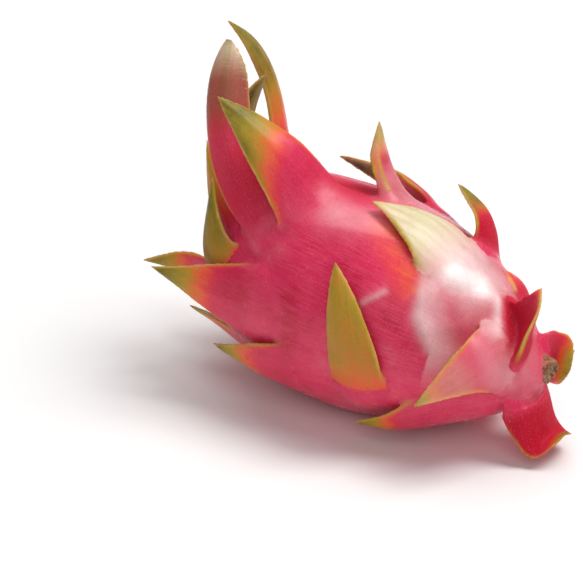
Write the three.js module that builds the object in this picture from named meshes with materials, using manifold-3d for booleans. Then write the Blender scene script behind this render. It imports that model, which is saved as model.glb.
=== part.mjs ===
// Dragon fruit: one whole, ripe, red-skinned fruit lying on its side, grown as one piece.
// Millimetres, +Z up.  The fruit lies along X, with its stem end at +X and its crown at -X.  It rests on
// the small flat spot under its belly, whose middle is the origin.
import * as THREE from "three";
import { mergeVertices } from "three/addons/utils/BufferGeometryUtils.js";
import Module from "manifold-3d";

// Driving dimensions, in millimetres and degrees.
const BODY_LENGTH = 146; // stem end to crown end, along the axis of the fruit
const BODY_RADIUS = 41.5; // at the widest place
const STEM_POWER = 0.68; // how full the skin's outline is towards the stem end: lower is blunter
const CROWN_POWER = 0.54; // and towards the crown end
const AXIS_TILT = 8; // the crown end lies higher than the stem end
const REST_DEPTH = 2; // height of belly lost to the flat spot
const SCAR_RADIUS = 4.8; // dried stub where the fruit was cut from its stem
const SCAR_PROUD = 1; // how far the stub stands out of the stem end
const SCAR_OFFSET = 6; // from the axis of the fruit to the middle of the stub
const SCAR_TURN = -60; // which way that is
const NAVEL_RADIUS = 6.5; // dried ring at the crown, where the flower stood
const NAVEL_PROUD = 2.2;
const BRACT_THICK = 2; // a bract's thickness at its base is this, and a share of its length
const BRACT_THICK_SHARE = 0.03;
const TIP_THIN = 0.75; // share of the thickness lost towards the tip
const ROOT_SHARE = 0.5; // length of root that runs back on the skin, as a share of the bract
const ROOT_MOST = 22;
const ROOT_NARROWING = 0.45;
const ROOT_SINK = 0.7; // depth at which the root's end is buried, in thicknesses
const BASE_PROUD = 0.25; // height of the middle of the base over the skin, in thicknesses
const BASE_BEND_MOST = 40; // most that a base's edges wrap round the body, in degrees
const FILLET = 14; // radius of the skin's sweep up into the outer side of a blade

// How finely the surfaces are divided.
const PROFILE_STEPS = 30;
const LATHE_STEPS = 40;
const ROOT_RINGS = 3;
const BLADE_RINGS = 9;
const RING_POINTS = 10;

// Bracts, the leafy scales of the skin.  Each has:
//   base   distance of its base from the stem end, and its turn about the axis in degrees:
//          0 is the top, 90 the near side (-Y), 180 the underside, -90 the far side
//   tip    the same two numbers for its tip, and the tip's distance out from the axis
//   width  at the base, and lift, the angle at which the blade leaves the skin, crownwards
//   lean   how far the blade is swung sideways at its base, towards growing turn
//   full   share of the width that the blade keeps past its base, and blunt, how late it narrows
//   cup    angle by which its edges bend in towards the tip
//   reach, settle  how far the blade keeps its first direction, and holds its last, in lengths
//   root   length of the root, where it isn't the usual share
const BRACTS = {
  crownFront: {
    base: [98, 23], tip: [140, 20, 73], width: 30, lift: 69, lean: -10,
    full: 0.72, blunt: 3, cup: 35,
  },
  crownTall: {
    base: [112, 40], tip: [156, 0, 79], width: 20, lift: 42, lean: -31,
    full: 1, blunt: 10, cup: 45, reach: 0.42,
  },
  crownCurl: {
    base: [132, -35], tip: [163, -5, 81.5], width: 14, lift: 98,
    full: 1, blunt: 4.5, reach: 0.72, settle: 0.35,
  },
  crownTongue: { base: [131, 6], tip: [145.5, -11, 65.5], width: 17, lift: 72, full: 1, blunt: 5 },
  crownThin: { base: [126, 52], tip: [156, 10, 39], width: 15, lift: 45, lean: -40, full: 0.9, reach: 0.3 },
  crownLow: { base: [118, 75], tip: [139, 32, 42.5], width: 18, lift: 45, lean: -10, full: 0.9, reach: 0.3 },
  crownSide: { base: [104, 90], tip: [142, 84, 52], width: 36, lift: 15 },
  crownUnder: { base: [112, 150], tip: [150, 152, 34], width: 30, lift: 10 },
  crownBelow: { base: [132, 110], tip: [162, 104, 34], width: 22, lift: 20, full: 0.7 },
  crownHeel: { base: [128, -170], tip: [158, -172, 28], width: 24, lift: 10 },
  crownBack: { base: [92, -92], tip: [138, -88, 56], width: 36, lift: 18 },
  crownBackLow: { base: [112, -135], tip: [148, -132, 44], width: 30, lift: 18 },
  crownBackThin: { base: [132, -95], tip: [165, -90, 36], width: 20, lift: 20, full: 0.7 },
  backLong: { base: [72, -64], tip: [132, -64, 52], width: 38, lift: 25, cup: 40 },
  backBroad: { base: [46, -95], tip: [88, -98, 52], width: 34, lift: 20 },
  backLow: { base: [68, -132], tip: [100, -134, 44], width: 28, lift: 12 },
  backClaw: {
    base: [44, -36], tip: [66, -36, 53], width: 21, lift: 66,
    full: 1, blunt: 3.2, cup: 35, root: 14,
  },
  backStem: { base: [18, -120], tip: [34, -122, 40], width: 24, lift: 40, root: 8 },
  topSpike: {
    base: [80.5, -12.5], tip: [92, -10.3, 66.5], width: 17, lift: 57,
    full: 0.8, blunt: 3, cup: 60,
  },
  frontBroad: {
    base: [43, 4], tip: [78.5, 10.5, 45.5], width: 32, lift: 10,
    full: 1, blunt: 1.4, cup: 20,
  },
  frontBlade: {
    base: [53, 105], tip: [71, 47, 50], width: 22, lift: 18, lean: -85,
    full: 0.9, blunt: 3, reach: 0.35,
  },
  frontSide: { base: [80, 116], tip: [118, 118, 46], width: 34, lift: 15 },
  frontLow: { base: [30, 128], tip: [56, 132, 44], width: 26, lift: 20 },
  frontCheek: { base: [12, 48], tip: [26, 94, 44], width: 30, lift: 40, lean: 40, root: 8 },
  stemNub: { base: [21, -38], tip: [33, -34, 31], width: 15, lift: 34, full: 1, blunt: 4, root: 8 },
  stemFin: { base: [12, 5], tip: [9, -4, 36], width: 30, lift: 70, lean: 50, full: 0.75, cup: 50, root: 6 },
  stemLip: { base: [8, -86], tip: [-3, -89, 15], width: 26, lift: 122, full: 1, blunt: 6, cup: 35, root: 7 },
  stemFoot: {
    base: [4, -178], tip: [-14, -179, 13.5], width: 30, lift: 78,
    full: 0.95, blunt: 3.4, cup: 35, reach: 0.9, settle: 0.65, root: 3,
  },
};
const USUAL = { lean: 0, full: 0.6, blunt: 2, cup: 30, reach: 0.45, settle: 0.4 };

const wasm = await Module();
wasm.setup();

const radians = THREE.MathUtils.degToRad;
const degrees = THREE.MathUtils.radToDeg;
const ease = (x) => THREE.MathUtils.smoothstep(x, 0, 1);
const mix = (start, end, share) => start + (end - start) * share;

// The fruit's own frame: along its axis, up from it, and towards the near side.
const AXIS = new THREE.Vector3(-Math.cos(radians(AXIS_TILT)), 0, Math.sin(radians(AXIS_TILT)));
const UPWARD = new THREE.Vector3(Math.sin(radians(AXIS_TILT)), 0, Math.cos(radians(AXIS_TILT)));
const NEARWARD = new THREE.Vector3(0, -1, 0);

// Radius of the body at a distance from the stem end: x^a (1 - x)^b, scaled to its widest place.
const WIDEST = STEM_POWER / (STEM_POWER + CROWN_POWER);
const PEAK = WIDEST ** STEM_POWER * (1 - WIDEST) ** CROWN_POWER;
function bodyRadius(along) {
  const x = THREE.MathUtils.clamp(along / BODY_LENGTH, 0, 1);
  return (BODY_RADIUS * x ** STEM_POWER * (1 - x) ** CROWN_POWER) / PEAK;
}

// How fast that radius grows.
function bodySlope(along) {
  const step = 0.05;
  return (bodyRadius(along + step) - bodyRadius(along - step)) / (2 * step);
}

// The stem end is placed so that the lowest line of the belly passes REST_DEPTH below the origin.
function findStemEnd() {
  const lowest = new THREE.Vector3(0, 0, Infinity);
  const belly = new THREE.Vector3();
  for (let along = 0; along <= BODY_LENGTH; along += 0.2) {
    belly.copy(AXIS).multiplyScalar(along).addScaledVector(UPWARD, -bodyRadius(along));
    if (belly.z < lowest.z) lowest.copy(belly);
  }
  return new THREE.Vector3(-lowest.x, 0, -lowest.z - REST_DEPTH);
}
const STEM_END = findStemEnd();

// Directions at a turn about the axis: straight out of it, and round it towards growing turn.
function outward(turn) {
  const angle = radians(turn);
  return UPWARD.clone().multiplyScalar(Math.cos(angle)).addScaledVector(NEARWARD, Math.sin(angle));
}
function around(turn) {
  return outward(turn + 90);
}

// A point from its distance along the axis, its turn about it and its distance out.
function place(along, turn, out) {
  return STEM_END.clone().addScaledVector(AXIS, along).addScaledVector(outward(turn), out);
}

// The skin at a place: the point, the crownward direction on it, and the direction straight out of it.
function skin(along, turn) {
  const slope = bodySlope(along);
  const out = outward(turn);
  return {
    point: place(along, turn, bodyRadius(along)),
    crownward: AXIS.clone().addScaledVector(out, slope).normalize(),
    normal: out.clone().addScaledVector(AXIS, -slope).normalize(),
    sideways: around(turn),
  };
}

// A direction turned by an angle towards another one that is square to it.
function turned(from, towards, by) {
  const angle = radians(by);
  return from.clone().multiplyScalar(Math.cos(angle)).addScaledVector(towards, Math.sin(angle));
}

// Closed surface over a row of rings of points, with a fan over its first ring.  The last ring is a tip.
function loft(rings) {
  const count = rings[0].length;
  const middle = rings[0].reduce((sum, point) => sum.add(point), new THREE.Vector3()).divideScalar(count);
  const points = [...rings.flat(), middle];
  const index = [];
  for (let j = 0; j < count; j++) {
    const next = (j + 1) % count;
    index.push(points.length - 1, next, j);
    for (let row = 0; row < rings.length - 1; row++) {
      const [a, b] = [row * count + j, row * count + next];
      index.push(a, b, b + count, a, b + count, a + count);
    }
  }
  return new THREE.BufferGeometry().setFromPoints(points).setIndex(index);
}

// A geometry as a solid that manifold can join and cut.
function solid(geometry) {
  const bare = geometry.clone();
  bare.deleteAttribute("normal");
  bare.deleteAttribute("uv");
  const merged = mergeVertices(bare, 1e-4);
  const corners = merged.index.array;
  const triVerts = [];
  for (let i = 0; i < corners.length; i += 3) {
    const [a, b, c] = corners.slice(i, i + 3);
    if (a !== b && b !== c && c !== a) triVerts.push(a, b, c);
  }
  return new wasm.Manifold(
    new wasm.Mesh({
      numProp: 3,
      vertProperties: merged.attributes.position.array,
      triVerts: new Uint32Array(triVerts),
    }),
  );
}

// One ring of a bract: a lens, thick in the middle and sharp at its two edges, bent round an arc.  Its
// outer side is raised by the fillet: by all of it in the middle, by (1 - |across|^3) of it elsewhere.
function bractRing({ centre, side, face, halfWidth, thickness, bend, fillet }) {
  const arcRadius = halfWidth / bend;
  return Array.from({ length: RING_POINTS }, (_, i) => {
    const angle = (2 * Math.PI * i) / RING_POINTS;
    const turn = bend * Math.cos(angle);
    const raised = Math.sin(angle) > 1e-6 ? fillet * (1 - Math.abs(Math.cos(angle)) ** 3) : 0;
    const out = 0.5 * thickness * Math.sin(angle) + raised;
    return centre
      .clone()
      .addScaledVector(side, (arcRadius + out) * Math.sin(turn))
      .addScaledVector(face, (arcRadius + out) * Math.cos(turn) - arcRadius);
  });
}

// Height of a fillet over the corner that it fills, at a distance from the corner: the gap between the
// corner's arm and the arc, R - sqrt(R^2 - left^2), where the arc ends sweep away from the corner.
function filletAt(distance, sweep) {
  const left = THREE.MathUtils.clamp(sweep - distance, 0, 0.93 * FILLET);
  return FILLET - Math.sqrt(FILLET ** 2 - left ** 2);
}

// One bract: a root that runs on the skin, stemward of its base and sinking into it, then a blade along
// a curve that leaves the base at the lift angle and ends at the tip.
function bractSolid(settings) {
  const { base, tip, width, lift, lean, full, blunt, cup, reach, settle, root } = { ...USUAL, ...settings };
  const start = skin(...base);
  const end = place(...tip);
  const length = start.point.distanceTo(end);
  const thick = BRACT_THICK + BRACT_THICK_SHARE * length;
  const rootLength = root ?? Math.min(ROOT_SHARE * length, ROOT_MOST);
  const wrap = (0.5 * width) / Math.max(bodyRadius(base[0]), 10);
  const baseBend = Math.min(wrap, radians(BASE_BEND_MOST));
  const sweep = Math.min(FILLET * Math.tan(Math.min(radians(lift), 1.5) / 2), 0.5 * length);
  const rings = [];

  for (let i = 0; i < ROOT_RINGS; i++) {
    const back = 1 - i / ROOT_RINGS;
    const run = rootLength * back;
    const along = base[0] - run * Math.cos(radians(lean)) / Math.hypot(1, bodySlope(base[0]));
    const clear = THREE.MathUtils.clamp(along, 0.5, BODY_LENGTH - 0.5);
    const round = degrees((run * Math.sin(radians(lean))) / Math.max(bodyRadius(clear), 8));
    const below = skin(clear, base[1] - round);
    const sink = thick * (BASE_PROUD - (BASE_PROUD + ROOT_SINK) * back ** 2);
    rings.push(
      bractRing({
        centre: below.point.addScaledVector(below.normal, sink),
        side: turned(below.sideways, below.crownward, -lean),
        face: below.normal,
        halfWidth: 0.5 * width * (1 - ROOT_NARROWING * back ** 2),
        thickness: thick * (1 - 0.3 * back),
        bend: baseBend,
        fillet: filletAt(run, sweep) * Math.sqrt(1 - back),
      }),
    );
  }

  const heading = turned(start.crownward, start.sideways, lean);
  const baseSide = turned(start.sideways, start.crownward, -lean);
  const first = start.point.clone().addScaledVector(start.normal, BASE_PROUD * thick);
  const second = first.clone().addScaledVector(turned(heading, start.normal, lift), reach * length);
  const third = end.clone().addScaledVector(end.clone().sub(second).normalize(), -settle * length);
  const spine = new THREE.CubicBezierCurve3(first, second, third, end);
  for (let i = 0; i <= BLADE_RINGS; i++) {
    const x = i / BLADE_RINGS;
    const ahead = spine.getTangent(x);
    const side = baseSide.clone().addScaledVector(ahead, -baseSide.dot(ahead)).normalize();
    const face = ahead.clone().cross(side);
    rings.push(
      bractRing({
        centre: spine.getPoint(x),
        side,
        face,
        halfWidth: 0.5 * width * mix((1 - x) ** 3, 1 - x ** blunt, full),
        thickness: thick * (1 - TIP_THIN * x ** 1.2) * Math.sqrt(1 - x ** 6),
        bend: mix(baseBend, radians(cup), ease(x * 1.6)),
        fillet: filletAt(x * length, sweep),
      }),
    );
  }
  return solid(loft(rings));
}

// Turns a shape made about +Y so that it stands along the fruit's axis, at a place given as above.
function alongAxis(geometry, along, turn = 0, out = 0) {
  const frame = new THREE.Matrix4().makeBasis(UPWARD, AXIS, NEARWARD);
  return geometry.applyMatrix4(frame.setPosition(place(along, turn, out)));
}

// The body without its bracts.  Its profile is dense where it turns in, at both ends.
function bodySolid() {
  const profile = Array.from({ length: PROFILE_STEPS + 1 }, (_, i) => {
    const along = (BODY_LENGTH * (1 - Math.cos((Math.PI * i) / PROFILE_STEPS))) / 2;
    return new THREE.Vector2(bodyRadius(along), along);
  });
  profile[0].x = 0;
  profile[PROFILE_STEPS].x = 0;
  return solid(alongAxis(new THREE.LatheGeometry(profile, LATHE_STEPS), 0));
}

// A short dried stub along the axis, from inside the flesh to a little proud of the skin.
function stubSolid(radius, from, to, turn, out) {
  const sides = 16;
  const stub = new THREE.CylinderGeometry(radius, radius, to - from, sides);
  return solid(alongAxis(stub, (from + to) / 2, turn, out));
}

// Everything below the surface that the fruit lies on.
function floorSolid() {
  const side = 4 * BODY_LENGTH;
  return solid(new THREE.BoxGeometry(side, side, side).translate(0, 0, -side / 2));
}

function fruitSolid() {
  let fruit = bodySolid();
  for (const settings of Object.values(BRACTS)) fruit = fruit.add(bractSolid(settings));
  const buried = 8;
  fruit = fruit.add(stubSolid(SCAR_RADIUS, -SCAR_PROUD, buried, SCAR_TURN, SCAR_OFFSET));
  fruit = fruit.add(stubSolid(NAVEL_RADIUS, BODY_LENGTH - buried, BODY_LENGTH + NAVEL_PROUD));
  return fruit.subtract(floorSolid());
}

function geometryOf(shape) {
  const { vertProperties, triVerts } = shape.getMesh();
  const geometry = new THREE.BufferGeometry();
  geometry.setAttribute("position", new THREE.BufferAttribute(vertProperties, 3));
  geometry.setIndex(new THREE.BufferAttribute(triVerts, 1));
  geometry.computeVertexNormals();
  return geometry;
}

const skinMaterial = new THREE.MeshStandardMaterial({
  name: "skin",
  color: 0xe2406f,
  roughness: 0.45,
  metalness: 0,
});

const group = new THREE.Group();
const fruit = new THREE.Mesh(geometryOf(fruitSolid()), skinMaterial);
fruit.name = "dragon_fruit";
group.add(fruit);
export default group;
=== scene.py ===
import time
import bmesh
import bpy
import numpy as np
from mathutils import Matrix


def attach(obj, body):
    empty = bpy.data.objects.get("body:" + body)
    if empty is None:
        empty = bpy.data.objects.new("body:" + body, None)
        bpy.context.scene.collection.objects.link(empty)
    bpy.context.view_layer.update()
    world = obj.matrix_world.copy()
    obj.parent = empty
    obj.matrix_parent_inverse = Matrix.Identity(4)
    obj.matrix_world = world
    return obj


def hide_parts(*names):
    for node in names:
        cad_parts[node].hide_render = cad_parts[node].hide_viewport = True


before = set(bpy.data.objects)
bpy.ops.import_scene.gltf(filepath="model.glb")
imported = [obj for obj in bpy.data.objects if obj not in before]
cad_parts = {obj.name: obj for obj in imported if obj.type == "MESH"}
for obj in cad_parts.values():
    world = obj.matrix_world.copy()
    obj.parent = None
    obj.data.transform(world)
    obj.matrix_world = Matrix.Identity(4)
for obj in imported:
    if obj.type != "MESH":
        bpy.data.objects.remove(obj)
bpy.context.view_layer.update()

# Whole ripe dragon fruit, lying on its side on a pale floor.
# Sizes are in millimetres and angles in degrees; a mesh is scaled to metres when it is made.
# The fruit lies along X, stem end at +X, crown at -X, and rests on the origin.
# A place on it is given by its distance along the axis from the stem end, its turn about the
# axis (0 top, 90 near side, 180 underside, -90 far side) and its distance out from the axis.

started = time.time()
chance = np.random.default_rng(seed=11)
toMetres = 0.001


def report(stage):
    # the stage and the seconds so far
    print(f"{stage}: {time.time() - started:.1f} s")


def ease(x):
    # smooth step, 3x^2 - 2x^3, from 0 to 1
    x = np.clip(x, 0, 1)
    return x * x * (3 - 2 * x)


def mix(start, end, share):
    # start at a share of 0 and end at a share of 1, in a straight line between
    return start + (end - start) * share


def unit(vectors):
    # each vector over its length
    return vectors / np.linalg.norm(vectors, axis=-1, keepdims=True)


# The fields of a mesh.  Marks and tints carry the looks, each as an amount from 0 to 1; grain is the
# millimetres along and across the growth, and which pattern; joining is how much a join is smoothed.
looksIn = {
    "marks": ("ripe", "pale", "deep", "dry"),
    "tints": ("paleAndHighlight", "rim", "wrinkle", "brown"),
}
fields = (*looksIn, "grain", "joining")


def fieldsOf(looks, shape):
    # the looks side by side in their fields, 0 where one isn't given
    zero = np.zeros(shape)
    return {
        label: np.stack([looks.get(name, 0) + zero for name in names], -1)
        for label, names in looksIn.items()
    }


body = {
    "length": 146,
    "radius": 41.5,  # at the widest place
    "stemPower": 0.68,  # how full it is towards the stem end, lower is blunter
    "crownPower": 0.54,
    "tilt": 8,  # the crown end lies higher
    "restDepth": 2,  # belly lost to the flat spot
    "rows": 420,
    "columns": 620,
    "lumps": 0.45,  # height of the soft unevenness of the flesh
    "padHeight": 0.8,  # swelling under each bract
    # the axil crimson is partly the flesh's own deeper red and partly painted shade
    "axil": 0.4,  # how crimson the flesh is where a blade leaves it
    "slopeStep": 0.05,  # of the sums for the slope and the lowest line
    "bellyStep": 0.2,
    "endGap": 0.5,  # no root comes nearer than this to either end
    "thinGirth": 8,  # the radius is taken as no less than this under a root
    "calmRadius": 25,  # below it the lumps die down
    "closeRadius": 12,  # and below this the pads and creases with them
    "dryRadius": (7, 12),  # the skin round the crown scar dries between these
    "dryFrom": 60,  # only beyond this distance from the stem end
    "grainRadius": 30,  # of the roller on which the growth pattern of the flesh is laid out
}
# Waves of the unevenness: how many round the fruit, millimetres along it, phase and share.
lumpWaves = [(3, 17, 1, 1), (5, -11, 2, 0.7), (2, 8, 0, 0.6), (7, 6, 4, 0.4)]

# Soft creases of the flesh, with painted light along them: the places that each runs through, how far
# it spreads on its stemward and on its crownward side, its height, and how white (painted highlight),
# how crimson (painted shade) and how ripe (painted orange glow of light through a blade) it is.
folds = {
    "sheenEdge": dict(line=[(90, 35), (79, 29), (70, 24.5), (58, 18)], spread=(9, 6), height=1.3),
    # a pale line along the ridge of frontBroad's root: painted highlight
    "shoulderHighlight": dict(
        line=[(44, 30), (41, 41.5), (39, 52.5), (31.5, 66)], spread=(9, 2.5), height=1.5, paleAndHighlight=0.6,
    ),
    # crimson in the crease beside frontBroad: painted shade
    "grooveShade": dict(line=[(50, 13), (49.5, -20)], spread=(3, 3), height=-0.9, deep=0.35),
    # crimson in the crease beside frontCheek: painted shade
    "cheekShade": dict(line=[(24, 52), (21, 16)], spread=(3, 4), height=-0.9, deep=0.4),
    # a paler line along a small ridge: painted highlight
    "ridgeHighlight": dict(line=[(58, 58), (53, 48)], spread=(1, 1.5), height=0.4, paleAndHighlight=0.35),
    # orange-red under frontBroad's near margin: a painted glow of light through the blade
    "underBladeGlow": dict(
        line=[(66, 16), (61, 21), (56, 25), (50, 30), (45, 36)], spread=(4, 9), ripe=0.26,
    ),
    # crimson along the far top slope: painted shade
    "backSlopeShade": dict(line=[(107, 1), (97, 0), (88, -6)], spread=(9, 8), height=-0.5, deep=0.9),
    # crimson beside stemFin: painted shade
    "finSideShade": dict(line=[(21, -3), (17, 7), (13.5, 18)], spread=(7, 2), deep=1),
    # white along the ridge beside stemFin: painted highlight
    "finEdgeHighlight": dict(
        line=[(22.5, 3), (19.5, 15), (16, 25)], spread=(1.5, 3), height=0.5, paleAndHighlight=0.8,
    ),
    # the big white patch on frontBroad's root: painted highlight
    "rootHighlight": dict(line=[(37, 16), (30, 6)], spread=(7, 7), paleAndHighlight=1.3),
    # pale band along the top of the flesh: painted sheen
    "sheen": dict(line=[(86, 24), (80, 22), (72, 16)], spread=(7, 7), paleAndHighlight=0.22),
}
usualFold = dict(height=0, paleAndHighlight=0, deep=0, ripe=0)

tilt = np.radians(body["tilt"])
axisWay = np.array([-np.cos(tilt), 0, np.sin(tilt)])
upWay = np.array([np.sin(tilt), 0, np.cos(tilt)])
nearWay = np.array([0, -1.0, 0])


def bodyRadius(along):
    # x^a (1-x)^b over its greatest value, times the widest radius
    a, b = body["stemPower"], body["crownPower"]
    x = np.clip(np.asarray(along, float) / body["length"], 0, 1)
    widest = a / (a + b)
    return body["radius"] * x**a * (1 - x) ** b / (widest**a * (1 - widest) ** b)


def bodySlope(along):
    # the difference of the radius a small step ahead and behind, over both steps
    step = body["slopeStep"]
    return (bodyRadius(along + step) - bodyRadius(along - step)) / (2 * step)


def findStemEnd():
    # so that the lowest line of the belly passes restDepth below the origin
    along = np.arange(0, body["length"], body["bellyStep"])
    belly = along[:, None] * axisWay - bodyRadius(along)[:, None] * upWay
    lowest = belly[belly[:, 2].argmin()]
    return np.array([-lowest[0], 0, -lowest[2] - body["restDepth"]])


stemEnd = findStemEnd()


def outward(turn):
    # cos of the turn times the upward way, plus sin of it times the near way
    turn = np.radians(np.asarray(turn, float))[..., None]
    return np.cos(turn) * upWay + np.sin(turn) * nearWay


def place(along, turn, out):
    # the stem end, plus along the axis, plus out from it at the turn
    along, turn, out = np.broadcast_arrays(along, turn, out)
    return stemEnd + along[..., None] * axisWay + out[..., None] * outward(turn)


def skinAt(along, turn):
    # point of the skin, crownward way on it, way straight out of it, way round it
    along, turn = np.broadcast_arrays(np.asarray(along, float), np.asarray(turn, float))
    slope = bodySlope(along)[..., None]
    out = outward(turn)
    crownward = unit(axisWay + slope * out)
    straightOut = unit(out - slope * axisWay)
    return place(along, turn, bodyRadius(along)), crownward, straightOut, outward(turn + 90)


# Each bract has its base and tip as places, its width at the base, its lift off the skin and its lean
# sideways.  full (0 slim, 1 broad) and blunt shape its outline, cup bends it across, reach and settle
# are how long it keeps its first and last heading, and root is how far its root runs on the skin.
# ripple is the waviness of its margins, keel the height of its midrib and keelAt its place across.
# The looks: ripe is the colour of the tip (0 pink, 0.4 coral, 0.6 ochre, 0.9 olive, 1 brown), which
# starts and ends at those shares of the blade, earlier by slant at the margin towards growing turn
# and by edging at both.  rim is how tan the margin is, over rimWidth, less by bare on the other one.
# pale is how creamy the blade is, from paleFrom on, in full after paleSpan more, and up to paleTo.
# paleAndHighlight whitens the root and the flesh under it, partly a pale bloom and partly a painted
# highlight.  tone reddens the blade up to toneTo, and deep its inner side, each partly the blade's own
# crimson and partly painted shade.  lined tans its midrib.  brown and wrinkle are of the tip half.
bracts = {
    "crownFront": dict(
        base=(98, 23), tip=(140, 20, 73), width=30, lift=69, lean=-10, full=0.72, blunt=3, cup=35,
        ripple=1.5, ripe=0.88, start=0.18, end=0.8, slant=0.22, edging=0.26,
    ),
    # crownTall's pale tip is a painted highlight, and its crimson lower part partly painted shade
    "crownTall": dict(
        base=(112, 40), tip=(156, 0, 79), width=20, lift=42, lean=-31, full=1, blunt=10, cup=45,
        reach=0.42, ripe=0.2, start=0.3, end=0.7, rim=0.7, pale=0.75, paleFrom=0.76, tone=0.65,
        brown=1, wrinkle=1,
    ),
    "crownCurl": dict(
        base=(132, -35), tip=(163, -5, 81.5), width=14, lift=98, full=1, blunt=4.5, reach=0.72,
        settle=0.35, ripe=0.86, start=0.02, end=0.5,
    ),
    "crownTongue": dict(
        base=(131, 6), tip=(145.5, -11, 65.5), width=17, lift=72, full=1, blunt=5,
        ripe=0.93, start=-0.3, end=0.4,
    ),
    "crownThin": dict(
        base=(126, 52), tip=(156, 10, 39), width=15, lift=45, lean=-40, full=0.9, reach=0.3,
        ripe=0.6, start=-0.2, end=0.6, rim=0.9,
    ),
    "crownLow": dict(
        base=(118, 75), tip=(139, 32, 42.5), width=18, lift=45, lean=-10, full=0.9, reach=0.3,
        ripe=0.84, start=-0.45, end=0.4, rim=1,
    ),
    "crownSide": dict(base=(104, 90), tip=(142, 84, 52), width=36, lift=15),
    "crownUnder": dict(base=(112, 150), tip=(150, 152, 34), width=30, lift=10),
    "crownBelow": dict(base=(132, 110), tip=(162, 104, 34), width=22, lift=20, full=0.7),
    "crownHeel": dict(base=(128, -170), tip=(158, -172, 28), width=24, lift=10),
    "crownBack": dict(base=(92, -92), tip=(138, -88, 56), width=36, lift=18),
    "crownBackLow": dict(base=(112, -135), tip=(148, -132, 44), width=30, lift=18),
    "crownBackThin": dict(base=(132, -95), tip=(165, -90, 36), width=20, lift=20, full=0.7),
    "backLong": dict(
        base=(72, -64), tip=(132, -64, 52), width=38, lift=25, cup=40,
        ripe=0.96, start=0.3, end=0.75, rim=0.9, deep=1, tone=0.4,
    ),
    "backBroad": dict(base=(46, -95), tip=(88, -98, 52), width=34, lift=20),
    "backLow": dict(base=(68, -132), tip=(100, -134, 44), width=28, lift=12),
    "backClaw": dict(
        base=(44, -36), tip=(66, -36, 53), width=21, lift=66, full=1, blunt=3.2, cup=35, root=14,
        ripe=0.88, start=0.3, end=0.62, edging=0.3, rim=0.9, tone=1, toneTo=0.8,
    ),
    "backStem": dict(base=(18, -120), tip=(34, -122, 40), width=24, lift=40, root=8),
    "topSpike": dict(
        base=(80.5, -12.5), tip=(92, -10.3, 66.5), width=17, lift=57, full=0.8, blunt=3, cup=60,
        keel=1.1, keelAt=0.6, lined=0.9, ripe=0.72, start=0.3, end=0.95, rim=1, pale=0.4,
        paleFrom=0.4, paleAndHighlight=0.3,
    ),
    # frontBroad: the whitening of its root is mostly a painted highlight on a pale bloom
    "frontBroad": dict(
        base=(43, 4), tip=(78.5, 10.5, 45.5), width=32, lift=10, full=1, blunt=1.4, cup=20, keel=0.1,
        ripe=0.78, start=0.8, end=1.1, slant=0.14, rim=1, rimWidth=2.2, pale=0.9, paleFrom=-0.2,
        paleSpan=0.6, paleTo=0.95, paleAndHighlight=0.8,
    ),
    "frontBlade": dict(
        base=(53, 105), tip=(71, 47, 50), width=22, lift=18, lean=-85, full=0.9, blunt=3, reach=0.35,
        ripe=0.64, start=-0.35, end=0.35, rim=0.9,
    ),
    "frontSide": dict(base=(80, 116), tip=(118, 118, 46), width=34, lift=15),
    "frontLow": dict(base=(30, 128), tip=(56, 132, 44), width=26, lift=20),
    "frontCheek": dict(
        base=(12, 48), tip=(26, 94, 44), width=30, lift=40, lean=40, root=8,
        ripe=0.7, start=0.55, end=1, rim=1, pale=0.25, paleFrom=0.3, paleAndHighlight=0.3,
    ),
    "stemNub": dict(
        base=(21, -38), tip=(33, -34, 31), width=15, lift=34, full=1, blunt=4, root=8,
        ripe=0.2, start=-0.3, end=0.5, rimWidth=0.8, tone=0.7,
    ),
    "stemFin": dict(
        base=(12, 5), tip=(9, -4, 36), width=30, lift=70, lean=50, full=0.75, cup=50, root=6,
        ripe=0.85, start=0.75, end=1.1, rim=1, rimWidth=1.5, bare=1, tone=0.9, toneTo=0.95,
    ),
    "stemLip": dict(
        base=(8, -86), tip=(-3, -89, 15), width=26, lift=122, full=1, blunt=6, cup=35, root=7,
        ripe=0.78, start=0.1, end=1, rim=1, tone=0.5,
    ),
    "stemFoot": dict(
        base=(4, -178), tip=(-14, -179, 13.5), width=30, lift=78, full=0.95, blunt=3.4, cup=35,
        reach=0.9, settle=0.65, root=3, ripe=0.85, start=0.6, end=1, rim=0.6, tone=1, toneTo=1.15,
    ),
}
usual = dict(
    lean=0, full=0.6, blunt=2, cup=30, reach=0.45, settle=0.4, root=None, ripple=1, keel=0.35,
    keelAt=0, ripe=0.92, start=0.15, end=0.95, slant=0.06, edging=0, rim=0.8, rimWidth=1.1, bare=0,
    pale=0, paleFrom=0.2, paleSpan=0.25, paleTo=2, paleAndHighlight=0, tone=0.2, toneTo=0.8, deep=0.6, lined=0,
    brown=0, wrinkle=0.15,
)
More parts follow.
